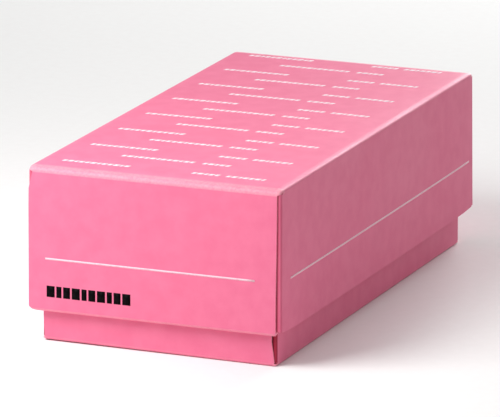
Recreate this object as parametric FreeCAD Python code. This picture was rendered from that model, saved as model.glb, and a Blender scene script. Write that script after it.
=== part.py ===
"""Cryogenic storage box of folded, coated paperboard, in millimetres.

Two roll-end trays, each folded from one blank: a base that stands on its floor panel and a deep lid that
telescopes over it upside down. Inside the base stands a divider of slotted board strips that makes one cell
for each vial. +Z is up, X runs across the box and Y along it. The origin is at the bottom, in the middle of
the lid's outline.
"""

import FreeCAD
import Part
import math
import os

Vector = FreeCAD.Vector

# Overall size of the closed box
box_width = 77.0
box_length = 150.0
box_height = 51.0

# Paperboard
board = 0.6  # thickness of both trays
ply_gap = 0.1  # air between the plies of a rolled end
wall_fold = 0.9  # inside radius of the folds round the floor panel
corner_fold = 0.5  # inside radius of the upright folds to the corner flaps
end_setback = 0.9  # each end panel stops this far inside the side faces
end_corner = 1.2  # radius of the end panel's corners at its rolled rim
inner_end_play = 0.5  # from the rolled-in panel's edges to the side walls
flap_length = 22.0
flap_relief = 0.3  # from the wall folds to the corner flaps
flap_to_hem = 0.4  # from the corner flaps to the inside of the rolled rim
rolled_in_gap = 0.2  # from the rolled-in panel's free edge to the floor panel
join = 0.5  # overlap of neighbouring solids where the blank runs on unbroken
tolerance = 1e-6  # distances below this count as zero

# Lid
lid_end_drop = 41.8
lid_side_step = 0.8  # the side walls stop this much short of the end walls
lid_play_x = 4.8  # total play of the lid over the base, across the box
lid_play_y = 3.3  # the same, along the box
base_shift_x = 0.4  # the base lies this far off the middle of its play
near_end_gap = 0.2  # what is left of the play along the box at the near end
lid_seat_gap = 0.1  # between the base's rim and the lid's ceiling
base_side_step = 0.6  # the base's side walls stop this much short of its rolled rims

# Divider
cells_across = 5
cells_along = 10
strip = 0.6  # thickness of a strip
divider_height = 30.0
divider_play = 0.4  # between the ends of a strip and the base's walls
slot_play = 0.1  # each side of a strip in its slot
slot_overrun = 0.25  # each slot is cut this much past mid-height
strip_corner = 2.0  # clipped lower corners, which clear the folds of the base

# Sizes that follow
wall_bend = wall_fold + board  # outside radius of the folds round the floor panel
corner_bend = corner_fold + board
end_build = 3 * board + 2 * ply_gap  # an end wall: outer panel, corner flap, rolled-in panel
hem_radius = end_build / 2
base_width = box_width - 2 * board - lid_play_x
base_length = box_length - 2 * end_build - lid_play_y
base_height = box_height - board - lid_seat_gap
base_x = base_shift_x
base_y = near_end_gap - lid_play_y / 2


def turn(point, before, after, radius):
    """Where a fold of that mid-line radius starts and ends at a corner, and its centre."""
    a = (before - point).normalize()
    b = (after - point).normalize()
    half = a.getAngle(b) / 2
    reach = radius / math.tan(half)
    centre = point + (a + b).normalize() * (radius / math.sin(half))
    return point + a * reach, point + b * reach, centre


def folded_strip(corners, radii, sweep):
    """A strip of board whose mid-line runs through the corners, each inner one folded to its radius."""
    across = Vector(sweep).normalize()
    edges = []
    ends = []
    for side in (-board / 2, board / 2):
        at = None
        for i, point in enumerate(corners):
            last = i == len(corners) - 1
            along = (point - corners[i - 1] if last else corners[i + 1] - point).normalize()
            offset = across.cross(along) * side
            if i == 0 or last:
                start = finish = point + offset
                arc = None
            else:
                start, finish, centre = turn(point, corners[i - 1], corners[i + 1], radii[i - 1])
                reach_in = (start - centre).normalize()
                reach_out = (finish - centre).normalize()
                middle = (reach_in + reach_out).normalize()
                into = (point - corners[i - 1]).normalize()
                outward = 1 if across.cross(into).dot(reach_in) > 0 else -1
                radius = radii[i - 1] + outward * side
                start = centre + reach_in * radius
                finish = centre + reach_out * radius
                arc = Part.Arc(start, centre + middle * radius, finish).toShape()
            if at is not None and (start - at).Length > tolerance:
                edges.append(Part.LineSegment(at, start).toShape())
            if arc:
                edges.append(arc)
            at = finish
            if i == 0 or last:
                ends.append(at)
    for a, b in ((ends[0], ends[2]), (ends[1], ends[3])):
        edges.append(Part.LineSegment(a, b).toShape())
    outline = Part.Wire(Part.__sortEdges__(edges))
    return Part.Face(outline).extrude(sweep)


def all_corners(shape):
    """The shape at one corner of a tray, and its mirror images at the other three."""
    pair = [shape, shape.mirror(Vector(), Vector(1, 0, 0))]
    return pair + [s.mirror(Vector(), Vector(0, 1, 0)) for s in pair]


def rounded_plate(half_width, height, depth):
    """A plate in the XZ plane with its two upper corners rounded, to trim an end wall to its outline."""
    plate = Part.makeBox(2 * half_width, depth, height + join, Vector(-half_width, 0, -join))
    upright = [
        e
        for e in plate.Edges
        if abs(e.CenterOfMass.z - height) < tolerance and abs(abs(e.CenterOfMass.x) - half_width) < tolerance
    ]
    return plate.makeFillet(end_corner, upright)


def tray(width, length, side_height, end_height):
    """A roll-end tray standing on its floor panel, folded from one blank and centred on the Z axis."""
    x = width / 2 - board / 2
    y = length / 2 - board / 2
    z = board / 2
    fold = wall_bend - board / 2
    side_end = length / 2 - board - ply_gap - corner_bend

    trough = folded_strip(
        [Vector(-x, -side_end, side_height), Vector(-x, -side_end, z), Vector(x, -side_end, z),
         Vector(x, -side_end, side_height)],
        [fold, fold],
        Vector(0, 2 * side_end, 0),
    )

    half_end = width / 2 - end_setback
    hem = hem_radius - board / 2
    rim = end_height - board / 2
    y_inner = y - 2 * hem
    end_wall = folded_strip(
        [Vector(-half_end, side_end - join, z), Vector(-half_end, y, z), Vector(-half_end, y, rim),
         Vector(-half_end, y_inner, rim), Vector(-half_end, y_inner, board + rolled_in_gap)],
        [fold, hem, hem],
        Vector(2 * half_end, 0, 0),
    )
    end_wall = end_wall.common(rounded_plate(half_end, end_height, length))
    half_inner = width / 2 - board - inner_end_play
    trim = Part.makeBox(width, y - board / 2 - ply_gap / 2 - side_end + join, end_height,
                        Vector(half_inner, side_end - join, wall_bend + flap_relief))
    end_wall = end_wall.cut(trim).cut(trim.mirror(Vector(), Vector(1, 0, 0)))

    flap_y = y - board - ply_gap
    flap_top = end_height - hem_radius - flap_to_hem
    flap_foot = wall_bend + flap_relief
    flap = folded_strip(
        [Vector(x, side_end - join, flap_foot), Vector(x, flap_y, flap_foot),
         Vector(width / 2 - flap_length, flap_y, flap_foot)],
        [corner_bend - board / 2],
        Vector(0, 0, flap_top - flap_foot),
    )
    closer = folded_strip(
        [Vector(width / 2 - wall_bend, side_end - join, z), Vector(x, side_end - join, z),
         Vector(x, side_end - join, wall_bend)],
        [fold],
        Vector(0, length / 2 - end_setback - side_end + join, 0),
    )
    pieces = [end_wall, end_wall.mirror(Vector(), Vector(0, 1, 0))] + all_corners(flap) + all_corners(closer)
    return trough.multiFuse(pieces).removeSplitter()


def strip_blank(length, slots, from_top, thickness_along):
    """A divider strip on the XZ or YZ plane, with a slot at each place in slots."""
    h = divider_height
    c = strip_corner
    outline = [(-length / 2 + c, 0), (length / 2 - c, 0), (length / 2, c), (length / 2, h), (-length / 2, h),
               (-length / 2, c)]
    along = Vector(0, 1, 0) if thickness_along.x else Vector(1, 0, 0)
    points = [along * u + Vector(0, 0, v) - thickness_along * (strip / 2) for u, v in outline]
    blank = Part.Face(Part.makePolygon(points + points[:1])).extrude(thickness_along * strip)
    half_slot = strip / 2 + slot_play
    low = h / 2 - slot_overrun if from_top else -join
    high = h + join if from_top else h / 2 + slot_overrun
    for at in slots:
        a = along * (at - half_slot) - thickness_along * strip
        size = along * (2 * half_slot) + thickness_along * (2 * strip)
        cutter = Part.makeBox(size.x, size.y, high - low, Vector(a.x, a.y, low))
        blank = blank.cut(cutter)
    return blank


def divider():
    """The divider: long strips slotted from above, and cross strips slotted from below, over them."""
    inside_x = base_width - 2 * board
    inside_y = base_length - 2 * end_build
    long_places = [inside_x * (i / cells_across - 0.5) for i in range(1, cells_across)]
    cross_places = [inside_y * (i / cells_along - 0.5) for i in range(1, cells_along)]
    long_length = inside_y - 2 * divider_play
    cross_length = inside_x - 2 * divider_play
    strips = {}
    for n, at in enumerate(long_places, 1):
        s = strip_blank(long_length, cross_places, True, Vector(1, 0, 0))
        s.translate(Vector(base_x + at, base_y, board))
        strips[f"divider_long_strip_{n}"] = s
    for n, at in enumerate(cross_places, 1):
        s = strip_blank(cross_length, long_places, False, Vector(0, 1, 0))
        s.translate(Vector(base_x, base_y + at, board))
        strips[f"divider_cross_strip_{n}"] = s
    return strips


def lid():
    """The lid: a tray turned over, so that its floor panel is the box's top."""
    shape = tray(box_width, box_length, lid_end_drop - lid_side_step, lid_end_drop)
    shape.rotate(Vector(), Vector(0, 1, 0), 180)
    shape.translate(Vector(0, 0, box_height))
    return shape


def base():
    shape = tray(base_width, base_length, base_height - base_side_step, base_height)
    shape.translate(Vector(base_x, base_y, 0))
    return shape


nodes = {"base_tray": base(), "lid": lid(), **divider()}
os.makedirs("parts", exist_ok=True)
for name, shape in nodes.items():
    if not shape.isValid() or len(shape.Solids) != 1:
        raise ValueError(f"{name} is not one valid solid")
    shape.exportStep(f"parts/{name}.step")
    box = shape.BoundBox
    print(f"{name}: {box.XLength:.2f} x {box.YLength:.2f} x {box.ZLength:.2f} mm, {shape.Volume:.1f} mm3")
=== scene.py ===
"""Cryogenic storage box: two folded trays of coated pink board round a slotted divider."""

import math

import bmesh
import bpy
from mathutils import Matrix, Vector


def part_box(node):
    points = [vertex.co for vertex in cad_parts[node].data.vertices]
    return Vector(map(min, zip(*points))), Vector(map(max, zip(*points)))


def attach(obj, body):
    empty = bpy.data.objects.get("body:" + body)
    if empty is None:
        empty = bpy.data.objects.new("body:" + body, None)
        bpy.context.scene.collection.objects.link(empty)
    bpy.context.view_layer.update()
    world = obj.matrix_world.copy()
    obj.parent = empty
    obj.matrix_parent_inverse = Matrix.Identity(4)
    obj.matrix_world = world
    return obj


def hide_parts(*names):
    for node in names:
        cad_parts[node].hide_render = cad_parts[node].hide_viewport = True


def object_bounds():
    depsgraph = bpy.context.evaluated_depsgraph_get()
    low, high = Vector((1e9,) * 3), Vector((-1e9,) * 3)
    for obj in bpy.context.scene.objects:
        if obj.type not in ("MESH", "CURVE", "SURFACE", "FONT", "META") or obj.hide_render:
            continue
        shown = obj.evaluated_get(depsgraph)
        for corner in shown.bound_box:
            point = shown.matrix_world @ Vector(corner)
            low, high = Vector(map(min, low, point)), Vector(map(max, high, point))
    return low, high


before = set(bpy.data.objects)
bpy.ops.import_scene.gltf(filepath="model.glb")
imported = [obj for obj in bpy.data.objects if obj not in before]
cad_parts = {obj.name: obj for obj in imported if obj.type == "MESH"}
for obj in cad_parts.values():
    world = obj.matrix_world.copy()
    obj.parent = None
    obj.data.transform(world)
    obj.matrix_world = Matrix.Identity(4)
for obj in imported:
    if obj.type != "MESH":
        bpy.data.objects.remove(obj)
cad_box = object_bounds()

mm = 0.001
across, along, up = Vector((1, 0, 0)), Vector((0, 1, 0)), Vector((0, 0, 1))
near = 1e-6  # metres; points this close are the same point
sliver = 0.02 * mm  # shorter edges, in the middle of a pressed corner, are closed up

# Board and plies, as in the CAD source
board = 0.6 * mm
ply_gap = 0.1 * mm
end_build = 3 * board + 2 * ply_gap
flap_length = 22.0 * mm
flap_to_hem = 0.4 * mm
rolled_in_gap = 0.2 * mm
lid_rim_step = 0.8 * mm
base_rim_step = 0.6 * mm

# Creases: the degrees and radius of a slight first bend, the length of a flat facet, and the
# tight fold's radius and how much paler it is painted, partly rubbed ink and partly painted highlight
lid_side_crease = (6.0, 1.0 * mm, 1.2 * mm, 0.45 * mm, 0.1)
lid_end_crease = (6.0, 1.5 * mm, 1.7 * mm, 1.0 * mm, 0.8)
base_side_crease = (4.0, 0.8 * mm, 0.5 * mm, 0.4 * mm, 0.3)
base_end_crease = (4.0, 0.8 * mm, 1.1 * mm, 0.4 * mm, 0.3)
bend_cuts, facet_cuts, fold_cuts, hem_cuts = 2, 2, 6, 10
corner_cuts = 8
wall_cuts, panel_cuts, hem_corner_cuts = 9, 8, 6
inner_corner_cuts, inner_panel_cuts = 4, 5
post_cuts, untuck_cuts, flap_cuts = 6, 2, 3
floor_cuts = (6, 12)
corner_squareness = 4.0  # 2 is an ellipse in plan
cuts_to_side = 1  # how much of each corner's rim the side wall hangs from
cuts_to_end = 1  # and the end panel
post_radius = 0.32 * mm  # of the upright folds, midway through the board
post_depth = 0.72 * mm  # from an end panel's face to the middle of the board at an upright fold
inner_narrowing = 0.9 * mm  # the rolled-in panel is this much narrower each side
# How far past square an upright fold tucks its flap in, how far the flap runs before it lies flat
# again, and how strongly painted shade darkens the fold down the gap beside the end panel
lid_tuck = (22.0, 0.93 * mm, 0.3)
base_tuck = (38.0, 1.4 * mm, 0.9)
crease_row = 0.3 * mm  # the first row below a fold, so that its paler paint, rubbed ink and painted highlight, stays on the fold
rim_rubbed = 0.6  # how far the ink has rubbed away on the rolled rims
edge_hold = 6  # how sharply setting a panel's free edge fades toward the panel's middle

# How the trays have relaxed
lid_top_half_width = 38.1 * mm
lid_flare = 0.40 * mm  # outward at the middle of each side's rim, more than at its corners
left_flare, far_right_flare = 0.30 * mm, 0.50 * mm  # the same at these corners of the rim
lid_tilt = Vector((0.125 * mm, 0.15 * mm, 0.05 * mm))  # rise at the right, at the far end, and all over
base_lift = 0.3 * mm  # rise of the fold under the base's near left corner
base_lift_length = 2.4 * mm  # how far in it reaches, which is clear of the divider's strips
base_rim_drop = 0.55 * mm  # keeps the rim off the lid's tilted top, out of sight inside it
lid_left_reach, base_left_reach = 38.0 * mm, 35.15 * mm  # of the end panels' left edges, drawn out
lid_dome = 0.25 * mm
side_bulge = 0.14 * mm
end_bulge = 0.12 * mm
rim_lift = 0.5 * mm  # the side walls' rims rise this much at the corners
rim_lift_length = 9.0 * mm
hem_corner = 1.2 * mm  # rounding of the end panels at the rolled rim
hem_corner_rows = 1.5 * hem_corner  # the height that its closer rows take up
drawn_in, drawn_full = 2.2 * hem_corner, 1.1 * hem_corner  # in from a left edge that is drawn out
drawn_from, drawn_above = 2.6 * mm, 7 * mm  # and up from the crease
drawn_until, drawn_past_rim = 1.2 * hem_corner, 0.2 * hem_corner  # and about the rim
lid_side_face = (37.0 * mm, 37.5 * mm)  # between these, a point starts to count as on a side wall
lid_end_face = (74.35 * mm, 74.6 * mm)  # and here as on an end wall
# Half an end panel's width at its crease, how much it narrows, and the heights between which it does
lid_panel = (36.85 * mm, 0.40 * mm, 4 * mm, 38 * mm)
base_panel = (34.85 * mm, 0.85 * mm, 1.0 * mm, 7 * mm)
cut_edge_softness = 0.08 * mm

lid_low, lid_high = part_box("lid")
base_low, base_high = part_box("base_tray")


class FreeEdge:
    """The free edge of a sheet of board, which runs on flat or folds about a crease."""

    def __init__(self, mesh, edges, at, heading, inside):
        self.mesh, self.edges, self.corners = mesh, edges, []
        self.at, self.heading, self.inside = at.copy(), heading, inside

    def carry_on(self, wear_and_painted_light):
        """One more strip of board, still folded flat on the old edge."""
        grown = bmesh.ops.extrude_edge_only(self.mesh, edges=self.edges)["geom"]
        self.edges = [g for g in grown if isinstance(g, bmesh.types.BMEdge)]
        self.corners = [g for g in grown if isinstance(g, bmesh.types.BMVert)]
        layer = self.mesh.verts.layers.float["wear_and_painted_light"]
        for corner in self.corners:
            corner[layer] = wear_and_painted_light

    def run(self, length, cuts=1, wear_and_painted_light=0.0):
        for _ in range(cuts):
            self.carry_on(wear_and_painted_light)
            bmesh.ops.translate(self.mesh, verts=self.corners, vec=self.heading * (length / cuts))
        self.at += self.heading * length

    def fold(self, degrees, radius, cuts, wear_and_painted_light=0.0):
        """Folds toward the inside, or away from it when degrees is negative."""
        side = math.copysign(1, degrees)
        turn = Matrix.Rotation(math.radians(degrees / cuts), 3, self.heading.cross(self.inside))
        centre = self.at + self.inside * radius * side
        for _ in range(cuts):
            self.carry_on(wear_and_painted_light)
            bmesh.ops.rotate(self.mesh, verts=self.corners, cent=centre, matrix=turn)
            self.at = centre + turn @ (self.at - centre)
            self.heading = turn @ self.heading
            self.inside = turn @ self.inside

    def crease(self, lean, first_radius, facet, second_radius, wear_and_painted_light):
        self.fold(lean, first_radius, bend_cuts, wear_and_painted_light / 2)
        self.run(facet, facet_cuts, wear_and_painted_light)
        self.fold(90 - lean, second_radius, fold_cuts, wear_and_painted_light)

    def rise(self, levels):
        """Runs up or down to each level in turn, and gives the rows of corners."""
        rows = []
        for level in levels:
            self.carry_on(0.0)
            for corner in self.corners:
                corner.co += up * (level - corner.co.z)
            rows.append(self.corners)
        self.at += up * (levels[-1] - self.at.z)
        return rows


def reach(lean, first_radius, facet, second_radius, wear_and_painted_light):
    """How far a crease carries the board outward."""
    a = math.radians(lean)
    return first_radius * math.sin(a) + facet * math.cos(a) + second_radius * (1 - math.sin(a))


def steps(start, finish, cuts):
    """The levels that divide start to finish evenly, without start itself."""
    return [start + (finish - start) * (i + 1) / cuts for i in range(cuts)]


def corner_cap(mesh, side_profile, end_profile):
    """The pressed corner where two creases meet, swept from one crease's profile to the other's.

    Gives the edges of its rim, from the side wall round to the end panel."""
    pole = side_profile[0]
    profile_edges = [mesh.edges.get(pair) for pair in zip(side_profile, side_profile[1:])]
    sweep = FreeEdge(mesh, profile_edges, pole.co, along, up)
    rim, weld = [side_profile[-1]], {}
    for step in range(1, corner_cuts + 1):
        # the pressed corner is painted fully paler: rubbed ink and a painted highlight
        sweep.carry_on(1.0)
        ring = sorted(sweep.corners, key=lambda c: (c.co - pole.co).length)
        turn = math.pi / 2 * step / corner_cuts
        outward = max(math.cos(turn), 0.0) ** (2 / corner_squareness)
        endward = math.sin(turn) ** (2 / corner_squareness)
        for corner, s, e in zip(ring, side_profile, end_profile):
            corner.co.x = pole.co.x + (s.co.x - pole.co.x) * outward
            corner.co.y = pole.co.y + (e.co.y - pole.co.y) * endward
            corner.co.z = s.co.z + (e.co.z - s.co.z) * math.sin(turn) ** 2
        weld[ring[0]] = pole
        rim.append(ring[-1])
    weld.update(zip(ring[1:], end_profile[1:]))
    rim[-1] = end_profile[-1]
    bmesh.ops.weld_verts(mesh, targetmap=weld)
    return [mesh.edges.get(pair) for pair in zip(rim, rim[1:])]


def tray(half_x, half_y, side_height, end_height, side_crease, end_crease, tuck, end_edge):
    """A roll-end tray's board, as the sheet midway through its thickness, standing on its floor panel.

    One quarter is folded from the floor panel outward and mirrored twice. end_edge gives where the
    end panel's free edge lies at each height."""
    mesh = bmesh.new()
    # per corner: above zero paints the board paler, rubbed ink with a painted highlight on the folds;
    # below zero paints deep red shade down the gaps at the corners
    mesh.verts.layers.float.new("wear_and_painted_light")
    x, y = half_x - board / 2, half_y - board / 2
    flat_x, flat_y = x - reach(*side_crease), y - reach(*end_crease)
    bmesh.ops.create_grid(mesh, x_segments=floor_cuts[0], y_segments=floor_cuts[1], size=0.5)
    bmesh.ops.scale(mesh, vec=(flat_x, flat_y, 1), verts=mesh.verts)
    bmesh.ops.translate(mesh, vec=(flat_x / 2, flat_y / 2, board / 2), verts=mesh.verts)

    pole = Vector((flat_x, flat_y, board / 2))
    side, end = [
        FreeEdge(mesh,
                 [e for e in mesh.edges if all(abs(v.co[axis] - pole[axis]) < near for v in e.verts)],
                 pole, heading, up)
        for axis, heading in ((0, across), (1, along))
    ]
    side.crease(*side_crease)
    end.crease(*end_crease)
    profiles = [
        sorted((v for v in mesh.verts
                if abs(v.co[1 - axis] - pole[1 - axis]) < near and v.co[axis] > pole[axis] - near),
               key=lambda v: (v.co - pole).length)
        for axis in (0, 1)
    ]
    rim_edges = corner_cap(mesh, *profiles)

    # The side wall, and the corner flap behind the end panel
    flap_top = end_height - end_build / 2 - flap_to_hem
    side.edges = side.edges + rim_edges[:cuts_to_side]
    wall_foot = side.at.z + crease_row
    rows = side.rise([wall_foot] + steps(wall_foot, flap_top, wall_cuts) + [side_height])
    post = [max(row, key=lambda c: c.co.y) for row in rows]
    post_edges = [mesh.edges.get(pair) for pair in zip(post[:-2], post[1:-1])]
    flap = FreeEdge(mesh, post_edges, post[0].co, along, -across)
    past_square, tucked_run, painted_gap_shade = tuck
    # painted shade: the fold and flap down the gap beside the end panel are painted deep red
    shade = -min(2 * painted_gap_shade, 1.0)
    flap.run(half_y - post_depth - post_radius - post[0].co.y)
    flap.fold(90 + past_square, post_radius, post_cuts, -painted_gap_shade)
    flap.run(tucked_run, 1, shade)
    flap.fold(-past_square, post_radius, untuck_cuts, shade)
    flap.run(flap_length, flap_cuts, shade)
    for corner in rows[-1]:
        toward_end = max(0.0, 1 - (y - corner.co.y) / rim_lift_length)
        corner.co.z -= rim_lift * toward_end ** 2

    # The end wall: outer panel, rolled rim and rolled-in panel
    end.edges = end.edges + rim_edges[-cuts_to_end:]
    hem_start = end_height - end_build / 2
    panel_foot, rounding_from = end.at.z + crease_row, hem_start - hem_corner_rows
    outer = end.rise([panel_foot] + steps(panel_foot, rounding_from, panel_cuts)
                     + steps(rounding_from, hem_start, hem_corner_cuts))
    end.at.y = y
    end.heading, end.inside = up, -along
    hem_radius = end_build / 2 - board / 2
    hem = []
    turn = Matrix.Rotation(math.pi / hem_cuts, 3, across)
    centre = Vector((0, y - hem_radius, hem_start))
    for _ in range(hem_cuts):
        end.carry_on(rim_rubbed)
        bmesh.ops.rotate(mesh, verts=end.corners, cent=centre, matrix=turn)
        hem.append(end.corners)
    inner = end.rise(steps(hem_start, rounding_from, inner_corner_cuts)
                     + steps(rounding_from, board + rolled_in_gap, inner_panel_cuts))
    for row in outer + hem + inner:
        narrowing = inner_narrowing if row in inner else 0.0
        edge = max(c.co.x for c in row)
        for corner in row:
            from_rim = end_height - corner.co.z
            cut_back = 0.0
            if from_rim < hem_corner:
                round_in = hem_corner - max(from_rim, 0.0)
                cut_back = hem_corner - math.sqrt(hem_corner**2 - round_in**2)
            change = end_edge(corner.co.z) - cut_back - narrowing - edge
            corner.co.x += change * (corner.co.x / edge) ** edge_hold

    bmesh.ops.dissolve_degenerate(mesh, dist=sliver, edges=mesh.edges)
    for axis in "XY":
        bmesh.ops.mirror(mesh, geom=mesh.verts[:] + mesh.edges[:] + mesh.faces[:],
                         matrix=Matrix.Identity(4), merge_dist=near, axis=axis)
    bmesh.ops.recalc_face_normals(mesh, faces=mesh.faces)
    underside = min(mesh.faces, key=lambda f: f.calc_center_median().length)
    if underside.normal.z > 0:
        bmesh.ops.reverse_faces(mesh, faces=mesh.faces)
    return mesh


def ease(value, low, high):
    """0 below low, 1 above high, and a smooth rise between them."""
    t = min(max((value - low) / (high - low), 0.0), 1.0)
    return t * t * (3 - 2 * t)


def relax_lid(point):
    """Moves a point of the lid, or of its print, to where it lies once the board has settled: domed
    on top, bowed out toward the rim, and slightly tilted."""
    top = lid_high.z
    drop = min(max((top - point.z) / (lid_high.z - lid_low.z), 0.0), 1.0)
    x, y = point.x / lid_high.x, point.y / lid_high.y
    bow = math.sin(math.pi * drop)
    side = side_bulge * bow * (1 - y * y) + lid_flare * drop * (1 - y**4)
    point.z += lid_dome * (1 - x * x) * (1 - y * y) * ease(point.z, top - 2 * board, top - board / 2)
    point.x += math.copysign(side * ease(abs(point.x), *lid_side_face), x)
    point.x += (far_right_flare * (1 + y) / 2 if x > 0 else -left_flare) * drop * abs(x)
    point.z += lid_tilt.dot((x, y, 1))
    point.y += math.copysign(end_bulge * bow * (1 - x * x) * ease(abs(point.y), *lid_end_face), y)


def close_left(point, half_y, height, rim, edge, corner):
    """Carries the left free edges of the end panels out to the corner, over its upright fold."""
    if point.x < 0 and half_y - abs(point.y) < board:
        sideways = ease(-point.x, edge - drawn_in, edge - drawn_full)
        upright = ease(height, drawn_from, drawn_above) * (
            1 - ease(height, rim - drawn_until, rim + drawn_past_rim))
        point.x -= (corner - edge) * sideways * upright


def piece(name, mesh, body, materials):
    """A finished mesh as an object that rides on a body."""
    data = bpy.data.meshes.new(name)
    mesh.to_mesh(data)
    mesh.free()
    data.shade_smooth()
    made = bpy.data.objects.new(name, data)
    bpy.context.scene.collection.objects.link(made)
    for material in materials:
        data.materials.append(material)
    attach(made, body)
    return made


def thicken(made, thickness, inner=0, cut=0, bevel=None):
    """Gives a sheet its thickness about its middle.

    inner and cut are the numbers of the finishes inside and on the cut edges, and bevel softens
    those edges."""
    wall = made.modifiers.new("board", "SOLIDIFY")
    wall.thickness = thickness
    wall.offset = 0
    wall.use_even_offset = True
    wall.material_offset = inner
    wall.material_offset_rim = cut
    if bevel:
        soft = made.modifiers.new("cut_edges", "BEVEL")
        soft.width = bevel
        soft.segments = 2
        soft.limit_method = "ANGLE"
        soft.angle_limit = math.radians(50)
        soft.harden_normals = True


# Finishes

def linear(code):
    """An sRGB hex colour as linear red, green, blue and alpha."""
    parts = [int(code[i:i + 2], 16) / 255 for i in (1, 3, 5)]
    return [c / 12.92 if c <= 0.04045 else ((c + 0.055) / 1.055) ** 2.4 for c in parts] + [1.0]


def per(size):
    """The scale that makes a pattern on object coordinates repeat about every size metres."""
    return 1 / size


def add(material, kind, inputs=(), **settings):
    """Adds a node with its settings, and sets or links its inputs."""
    node = material.node_tree.nodes.new(kind)
    for name, value in settings.items():
        setattr(node, name, value)
    for name, value in dict(inputs).items():
        if isinstance(value, bpy.types.NodeSocket):
            material.node_tree.links.new(value, node.inputs[name])
        else:
            node.inputs[name].default_value = value
    return node


def finish_named(name):
    material = bpy.data.materials.new(name)
    material.use_nodes = True
    material.node_tree.nodes.clear()
    return material, add(material, "ShaderNodeTexCoord").outputs["Object"]


def set_ramp(node, *ends):
    """Gives a ramp's two ends their places and sRGB hex colours."""
    for element, (position, code) in zip(node.color_ramp.elements, ends):
        element.position, element.color = position, linear(code)


def surface(material, inputs):
    shader = add(material, "ShaderNodeBsdfPrincipled", inputs)
    add(material, "ShaderNodeOutputMaterial", {"Surface": shader.outputs["BSDF"]})


def varnished_pink_board():
    """Solid bleached board, printed solid pink by offset and varnished.

    An even satin skin with faint ink mottle and a slight paper tooth in its gloss, paler along the
    folds for rubbed ink and a painted highlight, and a painted deep red shade down the narrow gaps
    at the corners, where light comes only by way of more pink board."""
    m, place = finish_named("varnished_pink_board")
    mottle = add(m, "ShaderNodeTexNoise", {"Vector": place, "Scale": per(5 * mm), "Detail": 3.0})
    clouds = add(m, "ShaderNodeTexNoise", {"Vector": place, "Scale": per(40 * mm), "Detail": 1.0})
    # real paper tooth is 0.1 to 0.2 mm, too fine to show, so it is drawn at 0.7 mm
    tooth = add(m, "ShaderNodeTexNoise", {"Vector": place, "Scale": per(0.7 * mm), "Detail": 3.0,
                                          "Roughness": 0.6})
    ink = add(m, "ShaderNodeValToRGB", {"Fac": mottle.outputs["Fac"]})
    set_ramp(ink, (0.35, "#E97496"), (0.65, "#ED7B9C"))
    wear_and_painted_light = add(m, "ShaderNodeAttribute", attribute_name="wear_and_painted_light")
    patches = add(m, "ShaderNodeMapRange", {"Value": tooth.outputs["Fac"],
                                            "From Min": 0.3, "From Max": 0.7,
                                            "To Min": 0.20, "To Max": 0.52})
    wear_and_highlight_mask = add(m, "ShaderNodeMath", {0: wear_and_painted_light.outputs["Fac"], 1: patches.outputs["Result"]},
               operation="MULTIPLY")
    # paler pink on the folds: rubbed ink and a painted highlight
    worn_and_highlit = add(m, "ShaderNodeMix", {0: wear_and_highlight_mask.outputs["Value"], 6: ink.outputs["Color"],
                                     7: linear("#FFC7CB")}, data_type="RGBA")
    # painted shade: deep red where the attribute falls below zero, down the narrow gaps at the corners
    gap_shade_mask = add(m, "ShaderNodeMapRange", {"Value": wear_and_painted_light.outputs["Fac"],
                                          "From Min": 0.0, "From Max": -1.0})
    colour = add(m, "ShaderNodeMix", {0: gap_shade_mask.outputs["Result"], 6: worn_and_highlit.outputs[2],
                                      7: linear("#98182F")}, data_type="RGBA")
    sheen_map = add(m, "ShaderNodeMapRange", {"Value": clouds.outputs["Fac"],
                                              "From Min": 0.3, "From Max": 0.7,
                                              "To Min": 0.36, "To Max": 0.46})
    waves = add(m, "ShaderNodeBump", {"Height": clouds.outputs["Fac"], "Strength": 0.35,
                                      "Distance": 0.25 * mm})
    grain = add(m, "ShaderNodeBump", {"Height": tooth.outputs["Fac"], "Strength": 0.25,
                                      "Distance": 0.02 * mm, "Normal": waves.outputs["Normal"]})
    surface(m, {"Base Color": colour.outputs[2], "Roughness": sheen_map.outputs["Result"],
                "IOR": 1.5, "Specular IOR Level": 0.12, "Normal": grain.outputs["Normal"]})
    return m


def uncoated_board_back():
    """The unvarnished back of the board, tinted pink right through: matte, with soft fibre clouds."""
    m, place = finish_named("uncoated_board_back")
    grain_way = add(m, "ShaderNodeMapping", {"Vector": place, "Scale": (1.0, 0.25, 1.0)})
    # fibres are 1 to 2 mm long and hair-thin, drawn about 0.5 mm wide
    fibres = add(m, "ShaderNodeTexNoise", {"Vector": grain_way.outputs["Vector"],
                                           "Scale": per(0.5 * mm), "Detail": 4.0})
    clouds = add(m, "ShaderNodeTexNoise", {"Vector": place, "Scale": per(9 * mm), "Detail": 2.0})
    mix = add(m, "ShaderNodeMath", {0: fibres.outputs["Fac"], 1: clouds.outputs["Fac"]},
              operation="MULTIPLY")
    tint = add(m, "ShaderNodeValToRGB", {"Fac": mix.outputs["Value"]})
    set_ramp(tint, (0.15, "#E0708D"), (0.40, "#EE87A1"))
    felt = add(m, "ShaderNodeBump", {"Height": fibres.outputs["Fac"], "Strength": 0.4,
                                     "Distance": 0.03 * mm})
    surface(m, {"Base Color": tint.outputs["Color"], "Roughness": 0.88, "IOR": 1.45,
                "Normal": felt.outputs["Normal"]})
    return m


def knife_cut_edge():
    """Board cut by a steel rule: a slightly ragged edge, in paler pinks than the printed face."""
    m, place = finish_named("knife_cut_edge")
    ragged = add(m, "ShaderNodeTexNoise", {"Vector": place, "Scale": per(0.6 * mm), "Detail": 4.0,
                                           "Roughness": 0.7})
    tint = add(m, "ShaderNodeValToRGB", {"Fac": ragged.outputs["Fac"]})
    set_ramp(tint, (0.35, "#EC7F9B"), (0.62, "#F7A9BC"))
    burr = add(m, "ShaderNodeBump", {"Height": ragged.outputs["Fac"], "Strength": 0.5,
                                     "Distance": 0.04 * mm})
    surface(m, {"Base Color": tint.outputs["Color"], "Roughness": 0.9, "IOR": 1.45,
                "Normal": burr.outputs["Normal"]})
    return m


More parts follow.
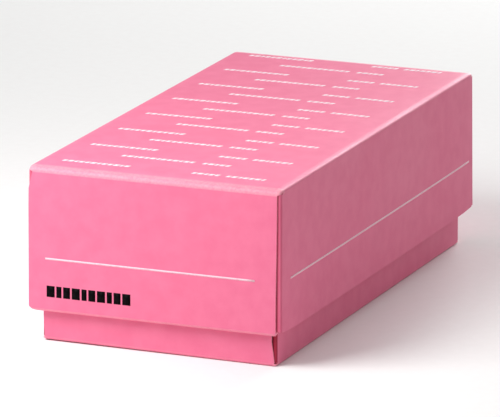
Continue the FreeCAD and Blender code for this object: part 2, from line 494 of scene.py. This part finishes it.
def printed_ink(name, thick, thin, gloss):
    """A screen-printed film on the varnish: opaque, satin, and slightly thinner in places."""
    m, place = finish_named(name)
    cover = add(m, "ShaderNodeTexNoise", {"Vector": place, "Scale": per(0.9 * mm), "Detail": 3.0})
    tint = add(m, "ShaderNodeValToRGB", {"Fac": cover.outputs["Fac"]})
    set_ramp(tint, (0.30, thin), (0.50, thick))
    skin = add(m, "ShaderNodeBump", {"Height": cover.outputs["Fac"], "Strength": 0.15,
                                     "Distance": 0.01 * mm})
    surface(m, {"Base Color": tint.outputs["Color"], "Roughness": 0.5, "IOR": 1.5,
                "Specular IOR Level": gloss, "Normal": skin.outputs["Normal"]})
    return m


def slotted_fibreboard():
    """Uncoated grey-white partition board: matte, with fibre grain, soft clouds and darker specks."""
    m, place = finish_named("slotted_fibreboard")
    grain_way = add(m, "ShaderNodeMapping", {"Vector": place, "Scale": (0.3, 0.3, 1.0)})
    fibres = add(m, "ShaderNodeTexNoise", {"Vector": grain_way.outputs["Vector"],
                                           "Scale": per(0.5 * mm), "Detail": 5.0, "Roughness": 0.65})
    clouds = add(m, "ShaderNodeTexNoise", {"Vector": place, "Scale": per(7 * mm), "Detail": 2.0})
    specks = add(m, "ShaderNodeTexVoronoi", {"Vector": place, "Scale": per(2.4 * mm),
                                             "Randomness": 1.0})
    both = add(m, "ShaderNodeMath", {0: fibres.outputs["Fac"], 1: clouds.outputs["Fac"]},
               operation="MULTIPLY")
    tint = add(m, "ShaderNodeValToRGB", {"Fac": both.outputs["Value"]})
    set_ramp(tint, (0.14, "#CFC9BE"), (0.38, "#E6E2D9"))
    dot = add(m, "ShaderNodeMapRange", {"Value": specks.outputs["Distance"],
                                        "From Min": 0.05, "From Max": 0.10,
                                        "To Min": 0.55, "To Max": 0.0})
    colour = add(m, "ShaderNodeMix", {0: dot.outputs["Result"], 6: tint.outputs["Color"],
                                      7: linear("#A1917C")}, data_type="RGBA")
    felt = add(m, "ShaderNodeBump", {"Height": fibres.outputs["Fac"], "Strength": 0.5,
                                     "Distance": 0.04 * mm})
    surface(m, {"Base Color": colour.outputs[2], "Roughness": 0.9, "IOR": 1.45,
                "Normal": felt.outputs["Normal"]})
    return m


def matt_backdrop_paper():
    """Seamless studio paper: matte near-white with the faintest tooth."""
    m, place = finish_named("matt_backdrop_paper")
    tooth = add(m, "ShaderNodeTexNoise", {"Vector": place, "Scale": per(3 * mm), "Detail": 2.0})
    tint = add(m, "ShaderNodeValToRGB", {"Fac": tooth.outputs["Fac"]})
    tint.color_ramp.elements[0].color = linear("#F6F5F4")
    tint.color_ramp.elements[1].color = linear("#FAFAF9")
    surface(m, {"Base Color": tint.outputs["Color"], "Roughness": 0.95, "IOR": 1.45})
    return m


pink = varnished_pink_board()
board_back = uncoated_board_back()
cut_edge = knife_cut_edge()
white_ink = printed_ink("white_screen_ink", "#FBE3EA", "#F7CEDA", 0.3)
thin_white_ink = printed_ink("thin_white_screen_ink", "#F9CDD9", "#F3B9C9", 0.3)
black_ink = printed_ink("black_screen_ink", "#050305", "#0D080C", 0.05)
partition = slotted_fibreboard()


# The lid

def lid_panel_edge(height):
    """Half the lid's end panel's width at a distance from the top: it narrows toward the rim."""
    at_crease, narrowing, start, stop = lid_panel
    return at_crease - narrowing * ease(height, start, stop)


lid_drop = lid_high.z - lid_low.z
lid_mesh = tray(lid_top_half_width, lid_high.y, lid_drop - lid_rim_step, lid_drop,
                lid_side_crease, lid_end_crease, lid_tuck, lid_panel_edge)
bmesh.ops.rotate(lid_mesh, verts=lid_mesh.verts, cent=Vector(),
                 matrix=Matrix.Rotation(math.pi, 3, along))
bmesh.ops.translate(lid_mesh, verts=lid_mesh.verts, vec=up * lid_high.z)
for corner in lid_mesh.verts:
    height = lid_high.z - corner.co.z
    close_left(corner.co, lid_high.y, height, lid_drop, lid_panel_edge(height), lid_left_reach)
    relax_lid(corner.co)
folded_lid = piece("folded_lid", lid_mesh, "lid", [pink, board_back, cut_edge])
thicken(folded_lid, board, 1, 2, cut_edge_softness)
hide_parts("lid")


# The base

def base_panel_edge(height):
    """The same for the base, up from its floor."""
    at_crease, narrowing, start, stop = base_panel
    return at_crease - narrowing * ease(height, start, stop)


base_rim = base_high.z - base_rim_drop
base_half_x, base_half_y = (base_high.x - base_low.x) / 2, (base_high.y - base_low.y) / 2
base_middle = Vector(((base_low.x + base_high.x) / 2, (base_low.y + base_high.y) / 2, 0))
base_mesh = tray(base_half_x, base_half_y, base_rim - base_rim_step, base_rim,
                 base_side_crease, base_end_crease, base_tuck, base_panel_edge)
for corner in base_mesh.verts:
    height = corner.co.z
    close_left(corner.co, base_half_y, height, base_rim, base_panel_edge(height), base_left_reach)
    corner.co += base_middle
    leftward = ease(-corner.co.x, -base_high.x, -base_low.x)
    nearward = ease(-corner.co.y, -base_low.y - base_lift_length, -base_low.y)
    corner.co.z += base_lift * leftward * nearward * (1 - corner.co.z / base_high.z)
folded_base = piece("folded_base", base_mesh, "base", [pink, board_back, cut_edge])
thicken(folded_base, board, 1, 2, cut_edge_softness)
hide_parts("base_tray")


# The divider: its slotted strips are the CAD's own

for name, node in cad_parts.items():
    if name.startswith("divider"):
        for slot in node.material_slots:
            slot.material = partition


# The lid's print: plain dashes, rules and blocks

film = 0.06 * mm  # half of it stands above the varnish
print_start = -65.6 * mm
print_pitch = 19.4 * mm
print_rows = 8
half_pitch = 0.54  # the rows between stand a little past halfway, and are one fewer
dash_height = 1.6 * mm
dash_lengths = (1.2 * mm, 1.6 * mm, 0.9 * mm, 1.4 * mm)
dash_gap = 0.45 * mm
dash_slant = 0.25
top_rows = [  # where each row of dashes starts and stops, and whether it is on the half pitch
    (-31.5 * mm, -9.9 * mm, 0), (7.8 * mm, 16.8 * mm, 0), (18.1 * mm, 31.4 * mm, 0),
    (-18.0 * mm, 4.6 * mm, 1), (6.6 * mm, 14.9 * mm, 1),
]
front_rule_cuts, side_rule_cuts = 24, 48
rule_width = 0.55 * mm
rule_level = 24.7 * mm
front_rule = (-32.9 * mm, 30.3 * mm)
side_rule = (-68.2 * mm, 70.9 * mm)
block_row = (-32.5 * mm, -6.9 * mm)
block_foot, block_head = 13.65 * mm, 16.9 * mm
block_lengths = (2.45 * mm, 1.55 * mm, 2.1 * mm)
block_gap = 0.52 * mm


def dashes(start, stop, lengths, gap):
    """Centre and length of each dash that fits between start and stop."""
    found = []
    at = start
    while at + lengths[len(found) % len(lengths)] <= stop + near:
        length = lengths[len(found) % len(lengths)]
        found.append((at + length / 2, length))
        at += length + gap
    return found


def patch(mesh, place, length, height, slant=0.0, cuts=1):
    """A flat printed patch, set on a face of the lid by the matrix place."""
    shape = Matrix(((length, slant * height, 0, 0), (0, height, 0, 0), (0, 0, 1, 0), (0, 0, 0, 1)))
    bmesh.ops.create_grid(mesh, x_segments=cuts, y_segments=1, size=0.5, matrix=place @ shape)


def on_end(way, x, z):
    """Place of a patch on the near (-1) or far (1) end wall, with x read from left to right."""
    turned = Matrix.Rotation(0 if way < 0 else math.pi, 4, "Z") @ Matrix.Rotation(math.pi / 2, 4, "X")
    return Matrix.Translation((-way * x, way * lid_high.y, z)) @ turned


def on_side(way, y, z):
    """The same on the left (-1) or right (1) side wall."""
    turned = Matrix.Rotation(way * math.pi / 2, 4, "Z") @ Matrix.Rotation(math.pi / 2, 4, "X")
    return Matrix.Translation((way * lid_top_half_width, way * y, z)) @ turned


def printed(name, mesh, material):
    """Finishes patches as a film of ink that follows the relaxed lid."""
    for corner in mesh.verts:
        relax_lid(corner.co)
    bmesh.ops.recalc_face_normals(mesh, faces=mesh.faces)
    made = piece(name, mesh, "lid", [material])
    thicken(made, film)


top_print = bmesh.new()
for start, stop, half in top_rows:
    for row in range(print_rows - half):
        y = print_start + (row + half * half_pitch) * print_pitch
        for x, length in dashes(start, stop, dash_lengths, dash_gap):
            on_top = Matrix.Translation((x, y, lid_high.z))
            patch(top_print, on_top, length, dash_height, dash_slant)
printed("lid_top_dashes", top_print, white_ink)

rules = bmesh.new()
for way in (-1, 1):
    for wall, (start, stop), cuts in ((on_end, front_rule, front_rule_cuts),
                                      (on_side, side_rule, side_rule_cuts)):
        patch(rules, wall(way, (start + stop) / 2, rule_level), stop - start, rule_width, cuts=cuts)
printed("lid_rules", rules, thin_white_ink)

blocks = bmesh.new()
for way in (-1, 1):
    for x, length in dashes(*block_row, block_lengths, block_gap):
        middle = on_end(way, x, (block_foot + block_head) / 2)
        patch(blocks, middle, length, block_head - block_foot)
printed("lid_end_blocks", blocks, black_ink)


# Studio

floor_half_width = 4.0
world_strength = 0.37

floor_mesh = bmesh.new()
bmesh.ops.create_grid(floor_mesh, x_segments=1, y_segments=1, size=floor_half_width)
bmesh.ops.translate(floor_mesh, verts=floor_mesh.verts, vec=(0, 0, cad_box[0].z))
floor_data = bpy.data.meshes.new("studio_floor")
floor_mesh.to_mesh(floor_data)
floor_mesh.free()
floor_data.materials.append(matt_backdrop_paper())
floor = bpy.data.objects.new("studio_floor", floor_data)
bpy.context.scene.collection.objects.link(floor)

world = bpy.data.worlds.new("pale_studio")
world.use_nodes = True
sky = world.node_tree.nodes["Background"]
sky.inputs["Color"].default_value = linear("#FFFFFF")
sky.inputs["Strength"].default_value = world_strength
bpy.context.scene.world = world

target = (cad_box[0] + cad_box[1]) / 2


def softbox(name, azimuth, elevation, distance, size, power):
    """A square soft light aimed at the box from its azimuth and elevation in degrees."""
    lamp = bpy.data.lights.new(name, "AREA")
    lamp.shape = "SQUARE"
    lamp.size = size
    lamp.energy = power
    a, e = math.radians(azimuth), math.radians(elevation)
    away = Vector((math.sin(a) * math.cos(e), -math.cos(a) * math.cos(e), math.sin(e)))
    holder = bpy.data.objects.new(name, lamp)
    holder.location = target + away * distance
    holder.rotation_euler = away.to_track_quat("Z", "Y").to_euler()
    bpy.context.scene.collection.objects.link(holder)


softbox("key_softbox", azimuth=-31, elevation=44, distance=0.33, size=0.18, power=1.03)
softbox("back_softbox", azimuth=180, elevation=20, distance=1.15, size=0.6, power=9.0)

# The camera: a long lens from the near corner, a little above the box
camera_azimuth = math.radians(22.61)
camera_elevation = math.radians(14.82)
camera_distance = 1730.76 * mm
aim_right, aim_up = -2.15 * mm, -1.0 * mm
aim_height = 25.0 * mm
back = Vector((math.sin(camera_azimuth) * math.cos(camera_elevation),
               -math.cos(camera_azimuth) * math.cos(camera_elevation), math.sin(camera_elevation)))
right = Vector((math.cos(camera_azimuth), math.sin(camera_azimuth), 0))
lens = bpy.data.cameras.new("studio_camera")
lens.lens = 432.0
lens.sensor_width = 36.0
lens.clip_start = 0.01
lens.clip_end = 20.0
camera = bpy.data.objects.new("studio_camera", lens)
camera.location = (right * aim_right + back.cross(right) * aim_up + back * camera_distance
                   + up * aim_height)
camera.rotation_euler = back.to_track_quat("Z", "Y").to_euler()
bpy.context.scene.collection.objects.link(camera)
bpy.context.scene.camera = camera
bpy.context.scene.view_settings.view_transform = "Standard"
